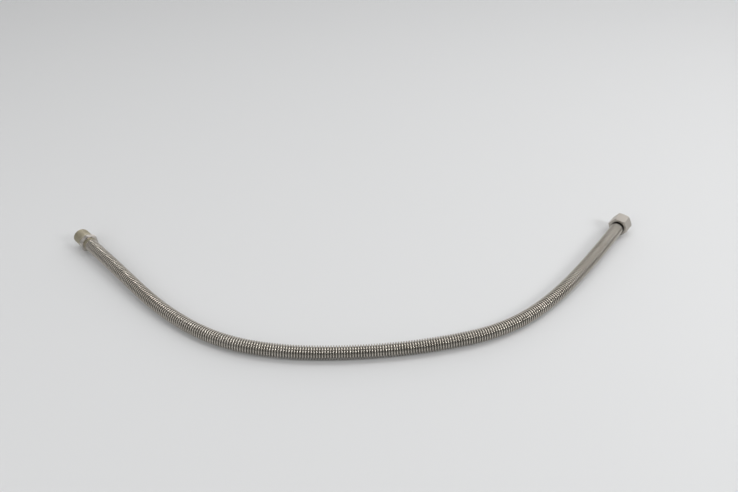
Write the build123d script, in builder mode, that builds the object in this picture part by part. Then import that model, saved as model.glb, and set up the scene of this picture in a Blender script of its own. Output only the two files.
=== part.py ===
"""Flexible corrugated metal hose, lying in a wide bend on a flat surface.

One end carries a fixed male fitting with a spanner hexagon. The other end carries a
flat-faced gland with a loose union nut, which turns freely about the gland.
Everything is in millimetres, Z is up and the floor is at Z = 0.
"""
import os
from math import cos, pi, radians, tan

from build123d import *

# ---- Corrugated hose: the outer diameter of its folds, and the bore through them ----
HOSE_OD = 17.0
HOSE_BORE = 12.2

# ---- Weld spigots, which locate both fittings in the hose's bore ----
SPIGOT_CLEARANCE = 0.1
SPIGOT_LENGTH = 8.0
SPIGOT_WALL = 1.2
SPIGOT_DIAMETER = HOSE_BORE - 2 * SPIGOT_CLEARANCE
FITTING_BORE = SPIGOT_DIAMETER - 2 * SPIGOT_WALL

# ---- Male fitting: weld collar, hexagon, round shoulder and a G 1/2 pipe thread ----
COLLAR_STEP = 0.3
COLLAR_LENGTH = 2.5
MALE_FLATS = 22.0
MALE_HEX_LENGTH = 5.5
MALE_HEX_CHAMFER = 1.2
SHOULDER_STEP = 0.2
SHOULDER_LENGTH = 4.0
UNDERCUT_DEPTH = 1.3
UNDERCUT_LENGTH = 1.5
MALE_THREAD_DIAMETER = 20.9
MALE_THREAD_LENGTH = 14.0
MALE_THREAD_CHAMFER = 1.1
MALE_MOUTH_CHAMFER = 1.0
COLLAR_DIAMETER = HOSE_OD + 2 * COLLAR_STEP
SHOULDER_DIAMETER = MALE_FLATS - 2 * SHOULDER_STEP

# ---- Union nut: hexagon with a retaining lip behind a G 1/2 female thread ----
NUT_THREAD_DIAMETER = 18.6
NUT_LENGTH = 17.0
NUT_CHAMFER = 1.6
NUT_RELIEF_DEPTH = 1.3
NUT_WALL = 1.4
NUT_LIP_THICKNESS = 2.8
NUT_LIP_CHAMFER = 0.5
NUT_MOUTH_CHAMFER = 1.3
NUT_RELIEF_DIAMETER = NUT_THREAD_DIAMETER + 2 * NUT_RELIEF_DEPTH
NUT_FLATS = NUT_RELIEF_DIAMETER + 2 * NUT_WALL

# ---- Gland: the weld bead, neck and flat flange that the nut's lip pulls on ----
FLANGE_CLEARANCE = 0.3
FLANGE_THICKNESS = 2.5
LIP_OVERLAP = 0.4
LIP_PLAY = 0.4
NECK_CLEARANCE = 2.1
BEAD_STEP = 0.4
BEAD_LENGTH = 1.6
BEAD_TO_NUT = 0.8
FLANGE_DIAMETER = NUT_THREAD_DIAMETER - 2 * FLANGE_CLEARANCE
NUT_LIP_BORE = FLANGE_DIAMETER - 2 * LIP_OVERLAP
NECK_DIAMETER = NUT_LIP_BORE - 2 * NECK_CLEARANCE
BEAD_DIAMETER = HOSE_OD - 2 * BEAD_STEP

# ---- Flat gasket on the gland's face, clear of the nut's thread ----
GASKET_WALL = 3.5
GASKET_THICKNESS = 2.0
GASKET_TO_THREAD = 0.1

# ---- Heights along each fitting, from the end of the hose outwards ----
MALE_HEX_END = COLLAR_LENGTH + MALE_HEX_LENGTH
SHOULDER_END = MALE_HEX_END + SHOULDER_LENGTH
MALE_THREAD_START = SHOULDER_END + UNDERCUT_LENGTH
MALE_TIP = MALE_THREAD_START + MALE_THREAD_LENGTH
NUT_BACK = BEAD_LENGTH + BEAD_TO_NUT
NUT_LIP_END = NUT_BACK + NUT_LIP_THICKNESS
NUT_FRONT = NUT_BACK + NUT_LENGTH
FLANGE_BACK = NUT_LIP_END + LIP_PLAY
FLANGE_FRONT = FLANGE_BACK + FLANGE_THICKNESS
NUT_THREAD_START = FLANGE_FRONT + GASKET_THICKNESS + GASKET_TO_THREAD

# ---- How far each hexagon is turned from lying on a flat, in degrees ----
MALE_TURN = 30
NUT_TURN = 0

# ---- Where the hose lies: its axis sinks to the floor between the raised ends. The
# ---- male hexagon stands on a corner and the nut lies on a flat ----
ON_FLOOR = HOSE_OD / 2
AT_MALE = MALE_FLATS / 2 / cos(radians(30))
AT_NUT = NUT_FLATS / 2
ROUTE = [
    (-361, -23, AT_MALE),
    (-320, -62, AT_MALE),
    (-239, -140, ON_FLOOR),
    (-163, -188, ON_FLOOR),
    (-82, -206, ON_FLOOR),
    (8, -206, ON_FLOOR),
    (93, -196, ON_FLOOR),
    (181, -173, ON_FLOOR),
    (251, -123, ON_FLOOR),
    (328, -39, AT_NUT),
    (365, 8, AT_NUT),
]
ARC_SHARE = 0.45


def corner_radii(points):
    """The radius of each bend: as large as its two runs allow."""
    corners = [Vector(*point) for point in points]
    radii = []
    for before, corner, after in zip(corners, corners[1:], corners[2:]):
        angle = (corner - before).get_angle(after - corner)
        shorter = min((corner - before).length, (after - corner).length)
        radii.append(ARC_SHARE * shorter / tan(radians(angle) / 2))
    return radii


def end_plane(end, neighbour):
    """A plane on one end of the hose: Z points out of the hose and Y points up."""
    outward = Vector(*end) - Vector(*neighbour)
    sideways = Vector(0, 0, 1).cross(outward)
    return Plane(origin=end, x_dir=sideways, z_dir=outward)


def lathe(plane, profile, mode=Mode.ADD):
    """Turn a profile of (radius, height) points about the plane's Z axis."""
    half = Plane(origin=plane.origin, x_dir=plane.x_dir, z_dir=-plane.y_dir)
    with BuildSketch(half) as section:
        with BuildLine():
            Polyline(*profile, close=True)
        make_face()
    revolve(section.sketch, axis=Axis(plane.origin, plane.z_dir), mode=mode)


def chamfered_hexagon(plane, flats, start, length, chamfer, turn):
    """A hexagonal bar whose corners are turned back at both ends.

    It has flats above and below, and is then turned about the plane's axis.
    """
    with BuildSketch(plane.offset(start)) as hexagon:
        RegularPolygon(radius=flats / 2, side_count=6, major_radius=False, rotation=turn)
    extrude(hexagon.sketch, amount=length)
    corner = flats / 2 / cos(radians(30))
    drop = chamfer * tan(radians(30))
    end = start + length
    lathe(
        plane,
        [
            (0, start),
            (corner - chamfer, start),
            (corner, start + drop),
            (corner, end - drop),
            (corner - chamfer, end),
            (0, end),
        ],
        mode=Mode.INTERSECT,
    )


male_plane = end_plane(ROUTE[0], ROUTE[1])
nut_plane = end_plane(ROUTE[-1], ROUTE[-2])
radii = corner_radii(ROUTE)

# The hose: a plain tube as wide as its folds, along straight runs joined by arcs.
with BuildLine() as route_line:
    FilletPolyline(*ROUTE, radius=radii)
hose_path = route_line.wires()[0]
with BuildPart() as bellows_hose:
    with BuildSketch(Plane(origin=hose_path @ 0, z_dir=hose_path % 0)):
        Circle(HOSE_OD / 2)
        Circle(HOSE_BORE / 2, mode=Mode.SUBTRACT)
    sweep(path=hose_path)

# The male fitting: turned from hexagonal bar, with a through bore.
with BuildPart() as male_fitting:
    chamfered_hexagon(
        male_plane,
        MALE_FLATS,
        COLLAR_LENGTH,
        MALE_HEX_LENGTH,
        MALE_HEX_CHAMFER,
        MALE_TURN,
    )
    thread = MALE_THREAD_DIAMETER / 2
    undercut = thread - UNDERCUT_DEPTH
    shoulder = SHOULDER_DIAMETER / 2
    collar = COLLAR_DIAMETER / 2
    in_hexagon = COLLAR_LENGTH + MALE_HEX_LENGTH / 2
    spigot = SPIGOT_DIAMETER / 2
    lathe(
        male_plane,
        [
            (0, -SPIGOT_LENGTH),
            (spigot, -SPIGOT_LENGTH),
            (spigot, 0),
            (collar, 0),
            (collar, in_hexagon),
            (shoulder, in_hexagon),
            (shoulder, SHOULDER_END),
            (undercut, SHOULDER_END),
            (undercut, MALE_THREAD_START),
            (thread, MALE_THREAD_START + MALE_THREAD_CHAMFER),
            (thread, MALE_TIP - MALE_THREAD_CHAMFER),
            (thread - MALE_THREAD_CHAMFER, MALE_TIP),
            (0, MALE_TIP),
        ],
    )
    bore = FITTING_BORE / 2
    lathe(
        male_plane,
        [
            (0, -SPIGOT_LENGTH),
            (bore, -SPIGOT_LENGTH),
            (bore, MALE_TIP - MALE_MOUTH_CHAMFER),
            (bore + MALE_MOUTH_CHAMFER, MALE_TIP),
            (0, MALE_TIP),
        ],
        mode=Mode.SUBTRACT,
    )

# The gland: spigot, weld bead, neck and the flange behind the nut's lip.
with BuildPart() as swivel_gland:
    bead = BEAD_DIAMETER / 2
    neck = NECK_DIAMETER / 2
    flange = FLANGE_DIAMETER / 2
    lathe(
        nut_plane,
        [
            (bore, -SPIGOT_LENGTH),
            (spigot, -SPIGOT_LENGTH),
            (spigot, 0),
            (bead, 0),
            (bead, BEAD_LENGTH / 2),
            (bead - BEAD_LENGTH / 2, BEAD_LENGTH),
            (neck, BEAD_LENGTH),
            (neck, FLANGE_BACK),
            (flange, FLANGE_BACK),
            (flange, FLANGE_FRONT),
            (bore, FLANGE_FRONT),
        ],
    )

# The gasket: a plain flat ring on the flange's face.
with BuildPart() as face_gasket:
    with BuildSketch(nut_plane.offset(FLANGE_FRONT)):
        Circle(FLANGE_DIAMETER / 2)
        Circle(FLANGE_DIAMETER / 2 - GASKET_WALL, mode=Mode.SUBTRACT)
    extrude(amount=GASKET_THICKNESS)

# The union nut: chamfered hexagon, bored for the lip, the relief and the thread.
with BuildPart() as union_nut:
    chamfered_hexagon(nut_plane, NUT_FLATS, NUT_BACK, NUT_LENGTH, NUT_CHAMFER, NUT_TURN)
    lip = NUT_LIP_BORE / 2
    relief = NUT_RELIEF_DIAMETER / 2
    tapped = NUT_THREAD_DIAMETER / 2
    lathe(
        nut_plane,
        [
            (0, NUT_BACK),
            (lip + NUT_LIP_CHAMFER, NUT_BACK),
            (lip, NUT_BACK + NUT_LIP_CHAMFER),
            (lip, NUT_LIP_END),
            (relief, NUT_LIP_END),
            (relief, NUT_THREAD_START),
            (tapped, NUT_THREAD_START),
            (tapped, NUT_FRONT - NUT_MOUTH_CHAMFER),
            (tapped + NUT_MOUTH_CHAMFER, NUT_FRONT),
            (0, NUT_FRONT),
        ],
        mode=Mode.SUBTRACT,
    )

parts = {
    "bellows_hose": bellows_hose,
    "male_fitting": male_fitting,
    "swivel_gland": swivel_gland,
    "face_gasket": face_gasket,
    "union_nut": union_nut,
}

os.makedirs("parts", exist_ok=True)
for name, piece in parts.items():
    piece.part.label = name
    export_step(piece.part, f"parts/{name}.step")

section = pi / 4 * (HOSE_OD**2 - HOSE_BORE**2)
expected = section * hose_path.length
print("bend radii", [round(radius) for radius in radii])
print("hose length", round(hose_path.length, 1))
print("hose volume / (section x length)", round(bellows_hose.part.volume / expected, 4))
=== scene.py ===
"""Looks of the corrugated hose: folded steel tube, turned fittings and pale studio floor."""
from math import atan2, cos, pi, radians, sin, sqrt, tan

import bpy
from mathutils import Matrix, Vector


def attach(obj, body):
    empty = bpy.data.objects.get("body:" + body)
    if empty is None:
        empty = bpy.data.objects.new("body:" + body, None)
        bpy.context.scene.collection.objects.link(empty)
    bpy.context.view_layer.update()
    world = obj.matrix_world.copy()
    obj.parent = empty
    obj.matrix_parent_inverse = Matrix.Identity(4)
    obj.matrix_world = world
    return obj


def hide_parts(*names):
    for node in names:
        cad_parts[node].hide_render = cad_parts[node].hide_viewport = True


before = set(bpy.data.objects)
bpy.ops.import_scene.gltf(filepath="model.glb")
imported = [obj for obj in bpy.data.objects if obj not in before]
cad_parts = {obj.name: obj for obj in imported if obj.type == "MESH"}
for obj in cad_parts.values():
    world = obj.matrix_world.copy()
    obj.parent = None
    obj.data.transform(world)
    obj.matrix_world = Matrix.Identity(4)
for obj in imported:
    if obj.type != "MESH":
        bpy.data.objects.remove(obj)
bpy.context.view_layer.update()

MM = 0.001

# ---- Sizes, in millimetres, as in the part's source ----
HOSE_OD = 17.0
HOSE_ROOT = 12.8
HOSE_BORE = 12.2
FOLDS = 272
SPIGOT_DIAMETER = 12.0
SPIGOT_LENGTH = 8.0
FITTING_BORE = 9.6
COLLAR_DIAMETER = 17.6
MALE_FLATS = 22.0
MALE_TURN = 30
MALE_HEX_START = 2.5
MALE_HEX_END = 8.0
MALE_HEX_CHAMFER = 1.2
SHOULDER_DIAMETER = 21.6
SHOULDER_END = 12.0
UNDERCUT_DIAMETER = 18.3
MALE_THREAD_DIAMETER = 20.9
MALE_THREAD_START = 13.5
MALE_TIP = 27.5
NUT_FLATS = 24.0
NUT_TURN = 0
NUT_BACK = 2.4
NUT_FRONT = 19.4
NUT_CHAMFER = 1.6
NUT_LIP_BORE = 17.2
NUT_LIP_END = 5.2
NUT_RELIEF_DIAMETER = 21.2
NUT_RELIEF_END = 10.2
NUT_THREAD_DIAMETER = 18.6
FLANGE_BACK = 5.6
FLANGE_FRONT = 8.1
FLANGE_DIAMETER = 18.0
NECK_DIAMETER = 13.0
BEAD_DIAMETER = 16.2
BEAD_LENGTH = 1.6
GASKET_BORE = 11.0
GASKET_FRONT = 10.1
THREAD_PITCH = 25.4 / 14
THREAD_DEPTH = 1.16

# ---- Chamfers and broken edges, in millimetres ----
COLLAR_EDGE = 0.4
MALE_CORNER_ROUNDING = 0.4
SHOULDER_EDGE = 0.3
MALE_THREAD_CHAMFER = 1.1
MALE_MOUTH_CHAMFER = 1.0
NUT_CORNER_ROUNDING = 0.5
NUT_THREAD_CHAMFER = 0.6
NUT_MOUTH_CHAMFER = 1.3
NUT_RELIEF_STEP = 0.4
NUT_LIP_CHAMFER = 0.5
NECK_FILLET = 0.3
FLANGE_EDGE = 0.2
GASKET_EDGE = 0.2
# The weld bead: how far inside its full radius it is at each height.
BEAD_OUTLINE = [(0.4, 0.0), (0.1, 0.15), (0.0, 0.45), (0.1, 0.85), (0.4, 1.25), (0.9, BEAD_LENGTH)]

# ---- Forms with no size of their own ----
CHAMFER_SLOPE = tan(radians(30))
CREST_SHARE = 0.52  # the rounded crest's share of half a fold
THREAD_FLAT = 0.12  # the thread's flat crest, as a share of half a turn
THREAD_FLANK = 0.72  # its flank, likewise

# ---- How finely the meshes follow their curves ----
HOSE_SEGMENTS = 34
TURNED_SEGMENTS = 72
ROUTE_STEPS = 48  # points in each span of the route's spline
THREAD_STEPS = 10  # rings in one turn of a thread
BORE_STEP = 4  # folds between two rings of the hose's bore
SHARP_ANGLE = radians(32)
FOLD_SHARP_ANGLE = radians(80)

# ---- The hose's route, in metres: the same points as the tube's in the part's source ----
ROUTE = [
    (-0.361, -0.023, 0.0127),
    (-0.320, -0.062, 0.0127),
    (-0.239, -0.140, 0.0085),
    (-0.163, -0.188, 0.0085),
    (-0.082, -0.206, 0.0085),
    (0.008, -0.206, 0.0085),
    (0.093, -0.196, 0.0085),
    (0.181, -0.173, 0.0085),
    (0.251, -0.123, 0.0085),
    (0.328, -0.039, 0.012),
    (0.365, 0.008, 0.012),
]

# ---- Camera: in front of the hose, looking down on it ----
CAMERA_PLACE = (0.018, -0.678, 0.6096)
CAMERA_TILT = 42.55
CAMERA_ROLL = -0.19
CAMERA_LENS = 31.7
SENSOR_WIDTH = 36.0

# ---- Lamps: name, place, the point it faces, width, height and power in watts ----
LAMPS = [
    ("key", (1.5, -0.75, 1.2), (0, -0.1, 0), 0.6, 0.45, 10),
    ("fill", (-1.0, -1.0, 1.4), (0, -0.1, 0), 1.8, 1.2, 10),
    ("overhead", (0.4, 0.35, 1.7), (0.4, 0.35, 0), 3.2, 0.25, 10),
    ("side", (1.35, 0.6, 1.3), (0.2, -0.1, 0), 0.8, 0.6, 4),
]

# ---- The room's grey by direction, from the front (-1) over the zenith (0) to the back (1) ----
ROOM = [(-1.0, 0.6), (-0.8, 0.32), (-0.6, 0.12), (-0.3, 0.14), (0.0, 0.26), (0.35, 0.5), (1.0, 0.8)]

# ---- Colours and grain ----
FLOOR_COLOUR = (0.74, 0.745, 0.75, 1)
FLOOR_ROUGHNESS = 0.7
FLOOR_REACH = 6.0
KHAKI = (0.50, 0.46, 0.36), (0.42, 0.385, 0.30)
# Painted shade: near-black tones for the gland, which stand in for the shade inside the nut's hole.
GLAND_SHADE_TONES = (0.10, 0.09, 0.08), (0.06, 0.055, 0.05)
SILVER = (0.60, 0.565, 0.52), (0.52, 0.49, 0.45)
HOSE_TONES = (0.62, 0.585, 0.53), (0.54, 0.505, 0.45)
NICKEL_TONES = (0.57, 0.53, 0.48), (0.51, 0.475, 0.43)
WHITE_TONES = (0.86, 0.86, 0.84), (0.78, 0.78, 0.76)
# Painted shade: the colour in the folds' grooves is multiplied by this.
GROOVE_SHADE = 0.35
NOISE_LOW = 0.3  # most of a noise texture lies between these two values
NOISE_HIGH = 0.7
EVEN_GRAIN = (1, 1, 1)
TOOL_MARKS = (0.3, 6, 6)
PATCH_SCALE = 35.0
FINE_GRAIN = 900.0
HOSE_GRAIN = 500.0
GRAIN_HEIGHT = 0.0001


# ---- Camera ----
def make_camera():
    """The scene's camera, which looks along +Y and down by the tilt."""
    data = bpy.data.cameras.new("camera")
    data.sensor_fit = "HORIZONTAL"
    data.sensor_width = SENSOR_WIDTH
    data.lens = CAMERA_LENS
    camera = bpy.data.objects.new("camera", data)
    place = Matrix.Translation(CAMERA_PLACE)
    tilt = Matrix.Rotation(radians(90 - CAMERA_TILT), 4, "X")
    roll = Matrix.Rotation(radians(CAMERA_ROLL), 4, "Z")
    camera.matrix_world = place @ tilt @ roll
    bpy.context.collection.objects.link(camera)
    bpy.context.scene.camera = camera


# ---- Node materials ----
def node_material(name):
    """A new material with its node tree, output and principled shader."""
    material = bpy.data.materials.new(name)
    material.use_nodes = True
    nodes = material.node_tree.nodes
    nodes.clear()
    output = nodes.new("ShaderNodeOutputMaterial")
    shader = nodes.new("ShaderNodeBsdfPrincipled")
    material.node_tree.links.new(shader.outputs[0], output.inputs[0])
    return material, shader


def metal(name, tones, roughness, grain, bump, stretch=EVEN_GRAIN, heading=0.0):
    """Bare metal: two tones mixed in patches, and two roughnesses mixed by a fine grain.

    tones are the light and the dark one. stretch is how long a mark of the grain is along
    the axis that lies at the heading, and across it.
    """
    light, dark = tones
    smooth, rough = roughness
    material, shader = node_material(name)
    tree = material.node_tree
    link = tree.links.new
    shader.inputs["Metallic"].default_value = 1.0
    place = tree.nodes.new("ShaderNodeTexCoord")
    mapping = tree.nodes.new("ShaderNodeMapping")
    mapping.vector_type = "TEXTURE"
    mapping.inputs["Rotation"].default_value = (0, 0, heading)
    mapping.inputs["Scale"].default_value = stretch
    link(place.outputs["Object"], mapping.inputs["Vector"])
    noise = tree.nodes.new("ShaderNodeTexNoise")
    noise.inputs["Scale"].default_value = grain
    noise.inputs["Detail"].default_value = 4.0
    link(mapping.outputs[0], noise.inputs["Vector"])
    patches = tree.nodes.new("ShaderNodeTexNoise")
    patches.inputs["Scale"].default_value = PATCH_SCALE
    patches.inputs["Detail"].default_value = 2.0
    link(place.outputs["Object"], patches.inputs["Vector"])
    ramp = tree.nodes.new("ShaderNodeValToRGB")
    ramp.color_ramp.elements[0].position = NOISE_LOW
    ramp.color_ramp.elements[1].position = NOISE_HIGH
    ramp.color_ramp.elements[0].color = (*dark, 1)
    ramp.color_ramp.elements[1].color = (*light, 1)
    link(patches.outputs["Fac"], ramp.inputs["Fac"])
    link(ramp.outputs["Color"], shader.inputs["Base Color"])
    gloss = tree.nodes.new("ShaderNodeMapRange")
    gloss.inputs["From Min"].default_value = NOISE_LOW
    gloss.inputs["From Max"].default_value = NOISE_HIGH
    gloss.inputs["To Min"].default_value = smooth
    gloss.inputs["To Max"].default_value = rough
    link(noise.outputs["Fac"], gloss.inputs["Value"])
    link(gloss.outputs[0], shader.inputs["Roughness"])
    relief = tree.nodes.new("ShaderNodeBump")
    relief.inputs["Strength"].default_value = bump
    relief.inputs["Distance"].default_value = GRAIN_HEIGHT
    link(noise.outputs["Fac"], relief.inputs["Height"])
    link(relief.outputs[0], shader.inputs["Normal"])
    return material


def paint_groove_shade(material, shade):
    """Paint shade into the folds' grooves: multiply the material's colour by that shade there.

    There the mesh's crest value is 0. It rises to 1 on the crests, which keep their colour.
    """
    tree = material.node_tree
    shader = tree.nodes["Principled BSDF"]
    tones = shader.inputs["Base Color"].links[0].from_socket
    crest = tree.nodes.new("ShaderNodeAttribute")
    crest.attribute_name = "crest"
    darken = tree.nodes.new("ShaderNodeMixRGB")
    darken.blend_type = "MULTIPLY"
    darken.inputs["Fac"].default_value = 1.0
    grey = tree.nodes.new("ShaderNodeMapRange")
    grey.inputs["To Min"].default_value = shade
    tree.links.new(crest.outputs["Fac"], grey.inputs["Value"])
    tree.links.new(tones, darken.inputs["Color1"])
    tree.links.new(grey.outputs[0], darken.inputs["Color2"])
    tree.links.new(darken.outputs[0], shader.inputs["Base Color"])


def plastic(name, tones, rough):
    """Matte plastic with a faint mottling between the light and the dark tone."""
    light, dark = tones
    material, shader = node_material(name)
    tree = material.node_tree
    shader.inputs["Roughness"].default_value = rough
    place = tree.nodes.new("ShaderNodeTexCoord")
    noise = tree.nodes.new("ShaderNodeTexNoise")
    noise.inputs["Scale"].default_value = FINE_GRAIN
    tree.links.new(place.outputs["Object"], noise.inputs["Vector"])
    ramp = tree.nodes.new("ShaderNodeValToRGB")
    ramp.color_ramp.elements[0].color = (*dark, 1)
    ramp.color_ramp.elements[1].color = (*light, 1)
    tree.links.new(noise.outputs["Fac"], ramp.inputs["Fac"])
    tree.links.new(ramp.outputs["Color"], shader.inputs["Base Color"])
    return material


# ---- Mesh tools ----
def mesh_object(name, vertices, faces, material, matrix=None):
    """A mesh object with smooth shading broken at its sharp edges."""
    mesh = bpy.data.meshes.new(name)
    mesh.from_pydata(vertices, [], faces)
    mesh.validate()
    if matrix is not None:
        mesh.transform(matrix)
    mesh.materials.append(material)
    mesh.shade_smooth()
    mesh.set_sharp_from_angle(angle=SHARP_ANGLE)
    piece = bpy.data.objects.new(name, mesh)
    bpy.context.collection.objects.link(piece)
    return piece


def loft(rings):
    """Vertices and quads of a closed skin through rings of equal count, last joined to first."""
    count = len(rings[0])
    vertices = [tuple(point) for ring in rings for point in ring]
    faces = []
    for row in range(len(rings)):
        here = row * count
        there = (row + 1) % len(rings) * count
        for i in range(count):
            j = (i + 1) % count
            faces.append((here + i, here + j, there + j, there + i))
    return vertices, faces


def rounded_hexagon(flats, rounding, turn, per_corner=5, per_flat=9):
    """(angle, radius) round a hexagon with rounded corners.

    It has flats above and below, and is then turned about its axis.
    """
    centre = (flats / 2 - rounding) / cos(radians(30))
    points = []
    for side in range(6):
        corner = radians(60 * side + turn)
        for step in range(per_corner):
            swing = corner + radians(-30 + 60 * step / (per_corner - 1))
            x = centre * cos(corner) + rounding * cos(swing)
            y = centre * sin(corner) + rounding * sin(swing)
            points.append((x, y))
        ahead = corner + radians(60)
        start = points[-1]
        end = (
            centre * cos(ahead) + rounding * cos(ahead - radians(30)),
            centre * sin(ahead) + rounding * sin(ahead - radians(30)),
        )
        for step in range(1, per_flat):
            share = step / per_flat
            points.append(
                (
                    start[0] + (end[0] - start[0]) * share,
                    start[1] + (end[1] - start[1]) * share,
                )
            )
    return [(atan2(y, x), sqrt(x * x + y * y)) for x, y in points]


def round_outline():
    """The outline of a shape with no hexagon, as (angle, hexagon radius)."""
    return [(2 * pi * i / TURNED_SEGMENTS, 0.0) for i in range(TURNED_SEGMENTS)]


def ring(outline, radius, height):
    """One ring of a turned shape. radius and height may depend on (angle, hexagon radius)."""
    points = []
    for angle, hexagon in outline:
        r = radius(angle, hexagon) if callable(radius) else radius
        z = height(angle, hexagon) if callable(height) else height
        points.append((r * cos(angle) * MM, r * sin(angle) * MM, z * MM))
    return points


def hexagon_rings(outline, flats, start, end, chamfer):
    """The four rings of a hexagon's outside, its corners turned back at both ends."""
    face = flats / 2 / cos(radians(30)) - chamfer

    def drop(hexagon):
        return max(0.0, (hexagon - face) * CHAMFER_SLOPE)

    return [
        ring(outline, lambda a, h: min(h, face), start),
        ring(outline, lambda a, h: h, lambda a, h: start + drop(h)),
        ring(outline, lambda a, h: h, lambda a, h: end - drop(h)),
        ring(outline, lambda a, h: min(h, face), end),
    ]


def thread_rings(outline, crest, start, end, chamfer, inward):
    """Rings of a helical thread. inward cuts below the crest radius, outward above it."""
    steps = round((end - start) / THREAD_PITCH * THREAD_STEPS)
    rings = []
    for step in range(steps + 1):
        z = start + (end - start) * step / steps
        ease = min(1.0, (z - start) / chamfer, (end - z) / chamfer)
        ease = max(0.0, ease)

        def radius(angle, hexagon, z=z, ease=ease):
            phase = (z / THREAD_PITCH - angle / (2 * pi)) % 1.0
            ramp = abs(phase - 0.5) * 2
            cut = min(1.0, max(0.0, (ramp - THREAD_FLAT) / THREAD_FLANK))
            smooth = cut * cut * (3 - 2 * cut)
            if inward:
                return min(crest - THREAD_DEPTH * smooth, crest - chamfer * (1 - ease))
            return crest + THREAD_DEPTH * smooth * ease

        rings.append(ring(outline, radius, z))
    return rings


def end_matrix(end, neighbour):
    """The place of a fitting: its Z points out of the hose and its Y points up."""
    outward = (Vector(end) - Vector(neighbour)).normalized()
    sideways = Vector((0, 0, 1)).cross(outward).normalized()
    upward = outward.cross(sideways)
    axes = Matrix((sideways, upward, outward)).transposed()
    return Matrix.Translation(Vector(end)) @ axes.to_4x4()


# ---- The hose ----
def route_line():
    """Points of the smooth spline that has the route's points as its control points."""
    curve = bpy.data.curves.new("route", "CURVE")
    curve.dimensions = "3D"
    curve.resolution_u = ROUTE_STEPS
    spline = curve.splines.new("NURBS")
    spline.points.add(len(ROUTE) - 1)
    for point, place in zip(spline.points, ROUTE):
        point.co = (*place, 1.0)
    spline.use_endpoint_u = True
    spline.order_u = 3
    guide = bpy.data.objects.new("route", curve)
    bpy.context.collection.objects.link(guide)
    bpy.context.view_layer.update()
    evaluated = guide.evaluated_get(bpy.context.evaluated_depsgraph_get())
    line = bpy.data.meshes.new_from_object(evaluated)
    points = [vertex.co.copy() for vertex in line.vertices]
    bpy.data.objects.remove(guide)
    bpy.data.meshes.remove(line)
    bpy.data.curves.remove(curve)
    return points


def measured(points):
    """The distance of each point along the line from its start."""
    lengths = [0.0]
    for a, b in zip(points, points[1:]):
        lengths.append(lengths[-1] + (b - a).length)
    return lengths


def placed(points, lengths, stations):
    """The place and direction at each station, a rising distance along the line."""
    places = []
    segment = 0
    for target in stations:
        while segment < len(points) - 2 and lengths[segment + 1] < target:
            segment += 1
        start, end = points[segment], points[segment + 1]
        share = (target - lengths[segment]) / (end - start).length
        places.append((start.lerp(end, share), direction_near(points, segment, share)))
    return places


def direction_near(points, segment, share):
    """The line's direction, turned smoothly from each segment to the next."""
    here = points[segment + 1] - points[segment]
    other = segment + (1 if share > 0.5 else -1)
    other = min(max(other, 0), len(points) - 2)
    there = points[other + 1] - points[other]
    return here.normalized().lerp(there.normalized(), abs(share - 0.5)).normalized()


def fold_profile(pitch, depth):
    """(axial, height) points of one fold from groove to groove: a round crest and groove."""
    crest = pitch / 2 * CREST_SHARE
    groove = pitch / 2 - crest
    points = []
    for angle in (0, 45, 90):
        swing = radians(angle)
        points.append((groove * sin(swing), groove * (1 - cos(swing))))
    for angle in (90, 45, 0):
        swing = radians(angle)
        points.append((pitch / 2 - crest * sin(swing), depth - crest * (1 - cos(swing))))
    mirrored = [(pitch - along, height) for along, height in points[-2:0:-1]]
    return points + mirrored


def hose_ring(place, direction, radius):
    """The points of a circle about the hose's line."""
    sideways = Vector((0, 0, 1)).cross(direction).normalized()
    upward = direction.cross(sideways)
    points = []
    for i in range(HOSE_SEGMENTS):
        angle = 2 * pi * i / HOSE_SEGMENTS
        points.append(place + (sideways * cos(angle) + upward * sin(angle)) * radius)
    return points


def make_hose(material):
    """The folded tube. Returns it with the middle of each fold's start, and its length."""
    line = route_line()
    lengths = measured(line)
    pitch = lengths[-1] / FOLDS
    root = HOSE_ROOT / 2 * MM
    profile = fold_profile(pitch, HOSE_OD / 2 * MM - root)
    stations = []
    heights = []
    for fold in range(FOLDS):
        for along, height in profile:
            stations.append(fold * pitch + along)
            heights.append(height)
    stations.append(lengths[-1])
    heights.append(0.0)
    places = placed(line, lengths, stations)
    rings = [
        hose_ring(place, direction, root + height)
        for (place, direction), height in zip(places, heights)
    ]
    for place, direction in places[::-1][:: BORE_STEP * len(profile)] + [places[0]]:
        rings.append(hose_ring(place, direction, HOSE_BORE / 2 * MM))
    vertices, faces = loft(rings)
    hose = mesh_object("hose", vertices, faces, material)
    hose.data.set_sharp_from_angle(angle=FOLD_SHARP_ANGLE)
    crest = hose.data.attributes.new("crest", "FLOAT", "POINT")
    depth = max(heights)
    for row, height in enumerate(heights):
        for i in range(HOSE_SEGMENTS):
            crest.data[row * HOSE_SEGMENTS + i].value = height / depth
    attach(hose, "hose")
    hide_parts("bellows_hose")
    return hose, [place for place, direction in places[:: len(profile)]], lengths[-1]


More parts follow.
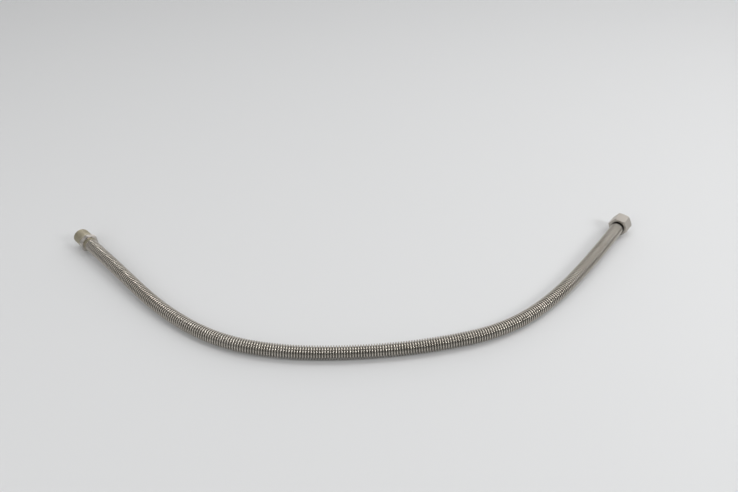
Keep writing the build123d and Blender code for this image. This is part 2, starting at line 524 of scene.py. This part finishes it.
# ---- The fittings ----
def make_male(material, bright, matrix):
    """The male fitting, whose hexagon is bright."""
    outline = rounded_hexagon(MALE_FLATS, MALE_CORNER_ROUNDING, MALE_TURN)
    spigot = SPIGOT_DIAMETER / 2
    collar = COLLAR_DIAMETER / 2
    shoulder = SHOULDER_DIAMETER / 2
    undercut = UNDERCUT_DIAMETER / 2
    thread = MALE_THREAD_DIAMETER / 2
    bore = FITTING_BORE / 2
    behind = [
        ring(outline, spigot, -SPIGOT_LENGTH),
        ring(outline, spigot, 0),
        ring(outline, collar - COLLAR_EDGE, 0),
        ring(outline, collar, COLLAR_EDGE),
        ring(outline, collar, MALE_HEX_START),
    ]
    hexagon = hexagon_rings(outline, MALE_FLATS, MALE_HEX_START, MALE_HEX_END, MALE_HEX_CHAMFER)
    ahead = [
        ring(outline, shoulder, MALE_HEX_END),
        ring(outline, shoulder, SHOULDER_END - SHOULDER_EDGE),
        ring(outline, shoulder - SHOULDER_EDGE, SHOULDER_END),
        ring(outline, undercut, SHOULDER_END),
        ring(outline, undercut, MALE_THREAD_START),
        *thread_rings(outline, thread, MALE_THREAD_START, MALE_TIP, MALE_THREAD_CHAMFER, True),
        ring(outline, bore + MALE_MOUTH_CHAMFER, MALE_TIP),
        ring(outline, bore, MALE_TIP - MALE_MOUTH_CHAMFER),
        ring(outline, bore, -SPIGOT_LENGTH),
    ]
    piece = mesh_object("male_end", *loft(behind + hexagon + ahead), material, matrix)
    piece.data.materials.append(bright)
    # The skin has one row of faces from each ring to the next.
    first = (len(behind) - 1) * len(outline)
    end = (len(behind) + len(hexagon)) * len(outline)
    for face in piece.data.polygons[first:end]:
        face.material_index = 1
    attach(piece, "hose")
    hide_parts("male_fitting")


def make_gland(material, matrix):
    """The gland: spigot, weld bead, neck and flange."""
    outline = round_outline()
    bead = BEAD_DIAMETER / 2
    neck = NECK_DIAMETER / 2
    flange = FLANGE_DIAMETER / 2
    bore = FITTING_BORE / 2
    profile = [
        (SPIGOT_DIAMETER / 2, -SPIGOT_LENGTH),
        (SPIGOT_DIAMETER / 2, 0.0),
        *((bead - inset, height) for inset, height in BEAD_OUTLINE),
        (neck + NECK_FILLET, BEAD_LENGTH),
        (neck, BEAD_LENGTH + NECK_FILLET),
        (neck, FLANGE_BACK),
        (flange - FLANGE_EDGE, FLANGE_BACK),
        (flange, FLANGE_BACK + FLANGE_EDGE),
        (flange, FLANGE_FRONT - FLANGE_EDGE),
        (flange - FLANGE_EDGE, FLANGE_FRONT),
        (bore, FLANGE_FRONT),
        (bore, -SPIGOT_LENGTH),
    ]
    rings = [ring(outline, r, z) for r, z in profile]
    piece = mesh_object("gland", *loft(rings), material, matrix)
    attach(piece, "hose")
    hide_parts("swivel_gland")


def make_gasket(material, matrix):
    """The flat ring on the gland's face."""
    outline = round_outline()
    outer = FLANGE_DIAMETER / 2
    inner = GASKET_BORE / 2
    profile = [
        (inner, FLANGE_FRONT),
        (outer, FLANGE_FRONT),
        (outer, GASKET_FRONT - GASKET_EDGE),
        (outer - GASKET_EDGE, GASKET_FRONT),
        (inner + GASKET_EDGE, GASKET_FRONT),
        (inner, GASKET_FRONT - GASKET_EDGE),
    ]
    rings = [ring(outline, r, z) for r, z in profile]
    piece = mesh_object("gasket_ring", *loft(rings), material, matrix)
    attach(piece, "hose")
    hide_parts("face_gasket")


def make_nut(material, matrix):
    """The union nut, with its female thread, relief and lip."""
    outline = rounded_hexagon(NUT_FLATS, NUT_CORNER_ROUNDING, NUT_TURN)
    lip = NUT_LIP_BORE / 2
    relief = NUT_RELIEF_DIAMETER / 2
    tapped = NUT_THREAD_DIAMETER / 2
    mouth = NUT_FRONT - NUT_MOUTH_CHAMFER
    thread = thread_rings(outline, tapped, NUT_RELIEF_END, mouth, NUT_THREAD_CHAMFER, False)
    rings = [
        *hexagon_rings(outline, NUT_FLATS, NUT_BACK, NUT_FRONT, NUT_CHAMFER),
        ring(outline, tapped + NUT_MOUTH_CHAMFER, NUT_FRONT),
        *thread[::-1],
        ring(outline, relief, NUT_RELIEF_END - NUT_RELIEF_STEP),
        ring(outline, relief, NUT_LIP_END),
        ring(outline, lip, NUT_LIP_END),
        ring(outline, lip, NUT_BACK + NUT_LIP_CHAMFER),
        ring(outline, lip + NUT_LIP_CHAMFER, NUT_BACK),
    ]
    piece = mesh_object("nut", *loft(rings), material, matrix)
    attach(piece, "nut")
    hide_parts("union_nut")


# ---- Floor and light ----
def make_floor():
    """The plain floor, at the height that the hose lies on."""
    material, shader = node_material("floor")
    shader.inputs["Base Color"].default_value = FLOOR_COLOUR
    shader.inputs["Roughness"].default_value = FLOOR_ROUGHNESS
    far = FLOOR_REACH
    corners = [(-far, -far, 0), (far, -far, 0), (far, far, 0), (-far, far, 0)]
    floor = mesh_object("floor", corners, [(0, 1, 2, 3)], material)


def make_lamp(name, place, target, width, height, power):
    """A rectangular soft lamp that faces the target, with its width square to the Y axis."""
    data = bpy.data.lights.new(name, "AREA")
    data.shape = "RECTANGLE"
    data.size = width
    data.size_y = height
    data.energy = power
    lamp = bpy.data.objects.new(name, data)
    backward = (Vector(place) - Vector(target)).normalized()
    sideways = Vector((0, 1, 0)).cross(backward).normalized()
    axes = Matrix((sideways, backward.cross(sideways), backward)).transposed()
    lamp.matrix_world = Matrix.Translation(place) @ axes.to_4x4()
    bpy.context.collection.objects.link(lamp)


def make_world():
    """A room that is dark round the camera and grey beyond the hose."""
    world = bpy.data.worlds.new("studio")
    world.use_nodes = True
    tree = world.node_tree
    link = tree.links.new
    place = tree.nodes.new("ShaderNodeTexCoord")
    split = tree.nodes.new("ShaderNodeSeparateXYZ")
    spread = tree.nodes.new("ShaderNodeMapRange")
    spread.inputs["From Min"].default_value = -1.0
    tones = tree.nodes.new("ShaderNodeValToRGB")
    ramp = tones.color_ramp
    for depth, grey in ROOM:
        stop = ramp.elements.new((depth + 1) / 2)
        stop.color = (grey, grey, grey, 1)
    ramp.elements.remove(ramp.elements[0])
    ramp.elements.remove(ramp.elements[-1])
    link(place.outputs["Generated"], split.inputs[0])
    link(split.outputs["Y"], spread.inputs["Value"])
    link(spread.outputs[0], tones.inputs["Fac"])
    link(tones.outputs["Color"], tree.nodes["Background"].inputs["Color"])
    bpy.context.scene.world = world


def heading_of(matrix):
    """The heading of a fitting's axis on the floor."""
    axis = matrix.col[2]
    return atan2(axis.y, axis.x)


# ---- The scene ----
make_camera()
at_male = end_matrix(ROUTE[0], ROUTE[1])
at_nut = end_matrix(ROUTE[-1], ROUTE[-2])

steel = metal("hose_steel", HOSE_TONES, (0.2, 0.26), HOSE_GRAIN, 0.03)
# Painted shade in the hose's grooves, which darkens their colour.
paint_groove_shade(steel, GROOVE_SHADE)
along_male = heading_of(at_male)
along_nut = heading_of(at_nut)
turned = metal("turned_steel", KHAKI, (0.42, 0.55), FINE_GRAIN, 0.1, TOOL_MARKS, along_male)
# The gland is painted dark to stand in for the shade in the nut's hole.
inner = metal("gland_painted_shade", GLAND_SHADE_TONES, (0.42, 0.55), FINE_GRAIN, 0.1, TOOL_MARKS, along_nut)
nickel = metal("satin_nickel", NICKEL_TONES, (0.36, 0.46), FINE_GRAIN, 0.05)
bright = metal("bright_steel", SILVER, (0.14, 0.2), FINE_GRAIN, 0.04, TOOL_MARKS, along_male)
white = plastic("gasket_white", WHITE_TONES, 0.55)

hose, centres, hose_length = make_hose(steel)
make_male(turned, bright, at_male)
make_gland(inner, at_nut)
make_gasket(white, at_nut)
make_nut(nickel, at_nut)

make_floor()
for lamp in LAMPS:
    make_lamp(*lamp)
make_world()
bpy.context.scene.view_settings.view_transform = "Standard"
